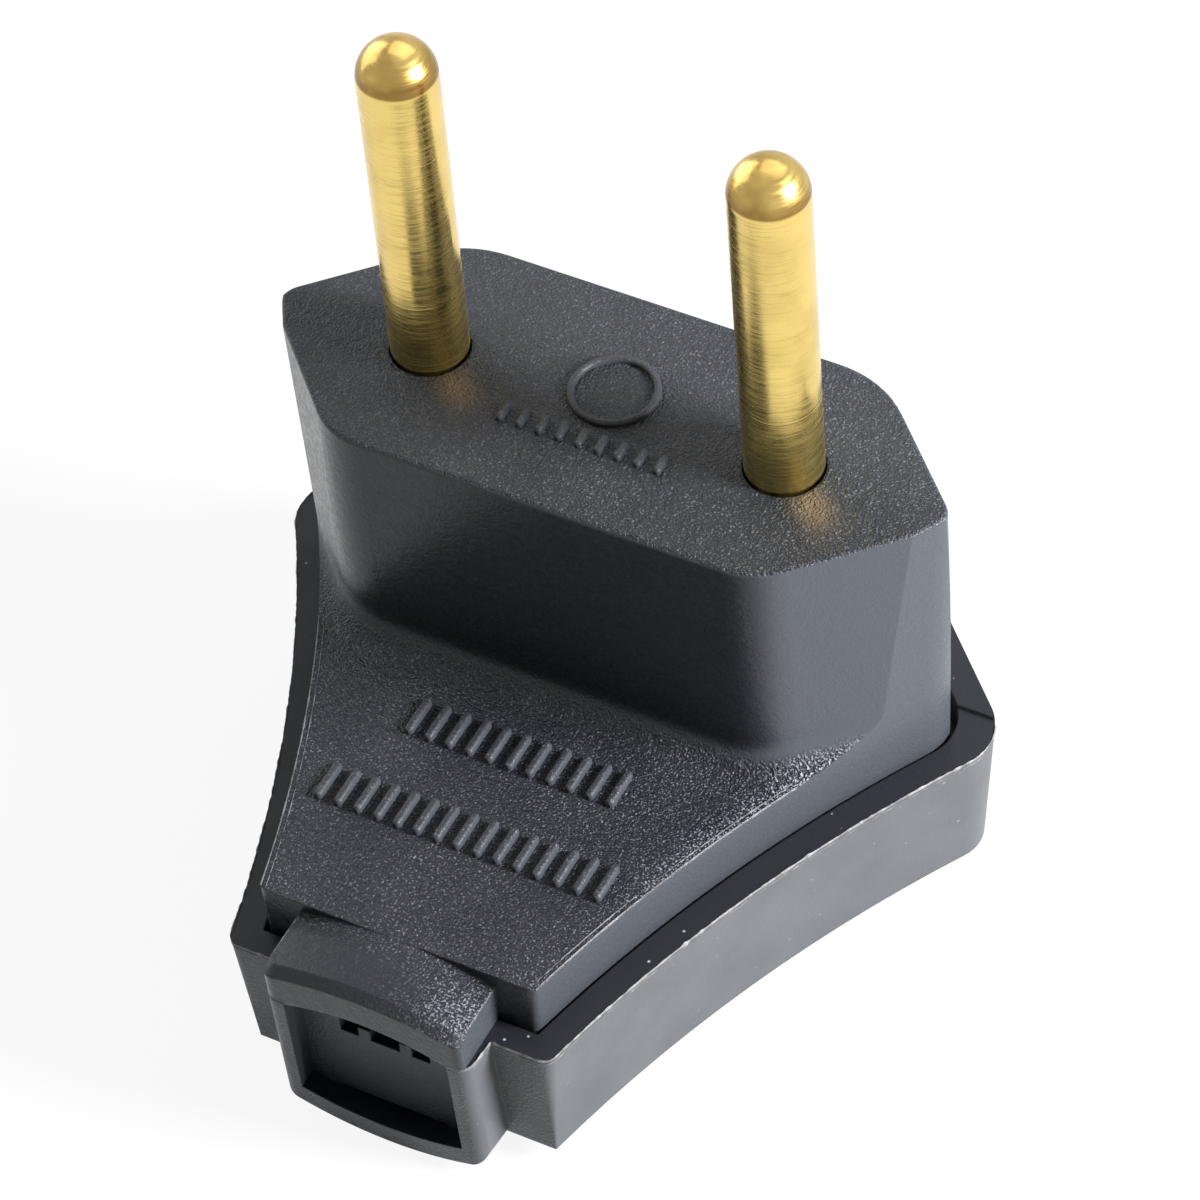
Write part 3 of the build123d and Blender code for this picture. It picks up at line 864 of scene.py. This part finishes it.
@dataclass
class Tray:
    """The back shell: its finish and the flash along the top of its wall."""

    ledge_z: float = 7.9 * MM
    foot_y: float = -24.93 * MM
    foot_radius: float = 0.7 * MM
    tip_middle: Point = (16.48 * MM, 1.26 * MM)
    tip_radius: float = 2.8 * MM
    tip_end: float = math.radians(24)
    tube_half_width: float = 5.63 * MM
    mouth_half_width: float = 5.48 * MM
    mouth_radius: float = 0.8 * MM
    mouth_inner: float = 4.4 * MM
    mouth_y: float = -27.06 * MM
    flank_steps: int = 40
    tip_steps: int = 12
    strands: tuple[Strand, ...] = (
        Strand("tray_flash", 0.0, 0.17 * MM, 0.09 * MM, 0.10, burrs=(-8.7 * MM, -15.9 * MM)),
        Strand("tray_seam", 0.26 * MM, 0.08 * MM, 0.05 * MM, 0.62),
    )

    def flank_and_tip(self) -> list[Point]:
        """Returns the right edge from the foot's corner along the flank and round the tip."""
        across, along = self.tip_middle
        tip_start = math.atan2(FLANK_CENTRE[1] - along, FLANK_CENTRE[0] - across)
        flank_start = self.foot_y + self.foot_radius
        flank_end = along + self.tip_radius * math.sin(tip_start)
        path = []
        for step in range(1, self.flank_steps + 1):
            y = flank_start + (flank_end - flank_start) * step / self.flank_steps
            path.append((flank_x(y, TRAY_RADIUS), y))
        for step in range(1, self.tip_steps + 1):
            angle = tip_start + (self.tip_end - tip_start) * step / self.tip_steps
            path.append((
                across + self.tip_radius * math.cos(angle),
                along + self.tip_radius * math.sin(angle),
            ))
        return path

    def edge_path(self, side: int) -> list[Point]:
        """Returns the top outer edge from the mouth round the tip, for side 1 or -1."""
        mouth_start = (self.mouth_inner, self.mouth_y)
        mouth_corner = (self.mouth_half_width, self.mouth_y)
        inner_corner = (self.tube_half_width, self.foot_y)
        foot_corner = (flank_x(self.foot_y, TRAY_RADIUS), self.foot_y)
        above_foot = (flank_x(self.foot_y + MM, TRAY_RADIUS), self.foot_y + MM)
        path = [mouth_start]
        path += rounded(mouth_start, mouth_corner, inner_corner, self.mouth_radius)
        path.append(inner_corner)
        path += rounded(inner_corner, foot_corner, above_foot, self.foot_radius)
        path += self.flank_and_tip()
        return [(side * x, y) for x, y in path]

    def build(self) -> None:
        """Dresses the shell and adds its flash."""
        dress("back_shell", SmoothPlastic().build())
        flash = PaleFlash().build()
        for strand in self.strands:
            for side in (-1, 1):
                strand.build(self.edge_path(side), self.ledge_z, side, flash, "shell_grey")


@dataclass(frozen=True)
class RibRow:
    """A row of low raised ribs in the place of a mark."""

    name: str
    middle: Point
    count: int
    pitch: float
    length: float
    width: float
    rise: float
    foot_z: float
    end_steps: int = 8

    def outline(self, inset: float) -> list[Point]:
        """Returns a rib's rounded outline round its own middle, moved in by inset."""
        radius = self.width / 2 - inset
        reach = self.length / 2 - self.width / 2
        points = []
        for end in (0, 1):
            for step in range(self.end_steps + 1):
                angle = math.pi * (end + step / self.end_steps)
                up = radius * math.sin(angle) + reach * (1 - 2 * end)
                points.append((radius * math.cos(angle), up))
        return points

    def levels(self) -> tuple[Point, ...]:
        """Returns the inset and the height of each ring of a rib, from its foot to its top."""
        return (
            (0.0, -RELIEF_FOOT),
            (0.0, self.rise * 0.55),
            (self.width * 0.14, self.rise * 0.88),
            (self.width * 0.3, self.rise),
        )

    def build(self, material: bpy.types.Material) -> None:
        """Builds the row as one piece."""
        mesh = bmesh.new()
        middle_x, middle_y = self.middle
        for index in range(self.count):
            rib_x = middle_x + (index - (self.count - 1) / 2) * self.pitch
            rings = []
            for inset, height in self.levels():
                rings.append([
                    mesh.verts.new((rib_x + x, middle_y + y, self.foot_z + height))
                    for x, y in self.outline(inset)
                ])
            for lower, upper in zip(rings, rings[1:]):
                for first in range(len(lower)):
                    second = (first + 1) % len(lower)
                    mesh.faces.new((lower[first], lower[second], upper[second], upper[first]))
            mesh.faces.new(rings[-1])
        for face in mesh.faces:
            face.smooth = len(face.verts) == 4
        new_piece(self.name, mesh, material)


@dataclass(frozen=True)
class Ring:
    """A low plain raised ring in the place of a mark."""

    name: str = "face_ring"
    middle: Point = (0.0, 0.9 * MM)
    radius: float = 2.1 * MM
    width: float = 0.38 * MM
    rise: float = 0.30 * MM
    foot_z: float = FACE_Z
    steps: int = 96

    def profile(self) -> tuple[Point, ...]:
        """Returns the section's points, each as its reach from the radius and its height."""
        half = self.width / 2
        return (
            (half, -RELIEF_FOOT),
            (half, self.rise * 0.6),
            (half * 0.5, self.rise),
            (-half * 0.5, self.rise),
            (-half, self.rise * 0.6),
            (-half, -RELIEF_FOOT),
        )

    def build(self, material: bpy.types.Material) -> None:
        """Builds the ring as one piece."""
        mesh = bmesh.new()
        rings = []
        for step in range(self.steps):
            angle = 2 * math.pi * step / self.steps
            rings.append([
                mesh.verts.new((
                    self.middle[0] + (self.radius + out) * math.cos(angle),
                    self.middle[1] + (self.radius + out) * math.sin(angle),
                    self.foot_z + up,
                ))
                for out, up in self.profile()
            ])
        for step, ring in enumerate(rings):
            following = rings[(step + 1) % self.steps]
            for first in range(len(ring) - 1):
                second = first + 1
                mesh.faces.new((ring[first], following[first], following[second], ring[second]))
        for face in mesh.faces:
            face.smooth = True
        new_piece(self.name, mesh, material)


@dataclass
class Front:
    """The front body: its finish and the plain relief on its face and plate."""

    foot_y: float = -23.3 * MM
    cove_y: float = -7.2 * MM
    edge_steps: int = 30
    tongue_half_width: float = 5.3 * MM
    tongue_side_z: float = 10.2 * MM
    tongue_root_y: float = -23.5 * MM
    tongue_end_y: float = -26.2 * MM
    tongue_strand: Strand = Strand("tongue_edge", 0.0, 0.12 * MM, 0.05 * MM, 0.0, 0.04 * MM, 0.4)
    plate_strands: tuple[Strand, ...] = (
        Strand("plate_edge", 0.0, 0.16 * MM, 0.08 * MM, 0.0, 0.05 * MM, 0.4),
        Strand("plate_ridge", 0.0, 0.12 * MM, 0.07 * MM, 0.05, 0.32 * MM, 0.7),
    )
    rows: tuple[RibRow, ...] = (
        RibRow(
            "face_ribs", middle=(0.0, -2.45 * MM), count=9, pitch=1.05 * MM,
            length=1.15 * MM, width=0.40 * MM, rise=0.32 * MM, foot_z=FACE_Z,
        ),
        RibRow(
            "plate_ribs_upper", middle=(0.0, -11.05 * MM), count=11, pitch=1.1 * MM,
            length=2.3 * MM, width=0.46 * MM, rise=0.40 * MM, foot_z=PLATE_Z,
        ),
        RibRow(
            "plate_ribs_lower", middle=(0.0, -16.4 * MM), count=15, pitch=1.08 * MM,
            length=2.3 * MM, width=0.46 * MM, rise=0.40 * MM, foot_z=PLATE_Z,
        ),
    )

    def plate_edge(self, side: int) -> list[Point]:
        """Returns the plate's edge from its foot to the cove, for side 1 or -1."""
        points = []
        for step in range(self.edge_steps + 1):
            y = self.foot_y + (self.cove_y - self.foot_y) * step / self.edge_steps
            points.append((side * flank_x(y, PLATE_RADIUS), y))
        return points

    def build_edges(self, material: bpy.types.Material) -> None:
        """Builds the fine ridges along the plate's and the tongue's edges, pale as a painted
        highlight.
        """
        for side in (-1, 1):
            for strand in self.plate_strands:
                strand.build(self.plate_edge(side), PLATE_Z, side, material, "body_black")
            reach = side * self.tongue_half_width
            line = [(reach, self.tongue_end_y), (reach, self.tongue_root_y)]
            self.tongue_strand.build(line, self.tongue_side_z, side, material, "body_black")

    def build(self) -> None:
        """Dresses the body and adds its relief."""
        dress("front_body", SparkErodedPlastic().build())
        relief = SparkErodedPlastic(
            name="relief_plastic", dark=(0.022, 0.024, 0.030), relief=0.06 * MM
        ).build()
        Ring().build(relief)
        # painted highlight: the pale tones stand in for light caught along the plate's and tongue's
        # edges
        ridge = SparkErodedPlastic(
            name="edge_highlight_plastic", dark=(0.17, 0.175, 0.19), wall=(0.13, 0.135, 0.145),
            relief=0.03 * MM,
        ).build()
        self.build_edges(ridge)
        for row in self.rows:
            row.build(relief)


@dataclass
class Contacts:
    """The two pins, the screws that clamp the wires in them and the cover screw."""

    sides: tuple[str, str] = ("left", "right")

    def build(self) -> None:
        """Dresses the pins and their screws."""
        brass = TurnedBrass().build()
        steel = PlatedSteel().build()
        for side in self.sides:
            dress(side + "_pin", brass)
            dress(side + "_terminal_screw", steel)
        dress("cover_screw", steel)


def main() -> None:
    """Builds the studio and every sub-assembly."""
    logging.basicConfig(level=logging.INFO, format="%(message)s")
    Studio().build()
    Tray().build()
    Front().build()
    Contacts().build()


if __name__ == "__main__":
    main()
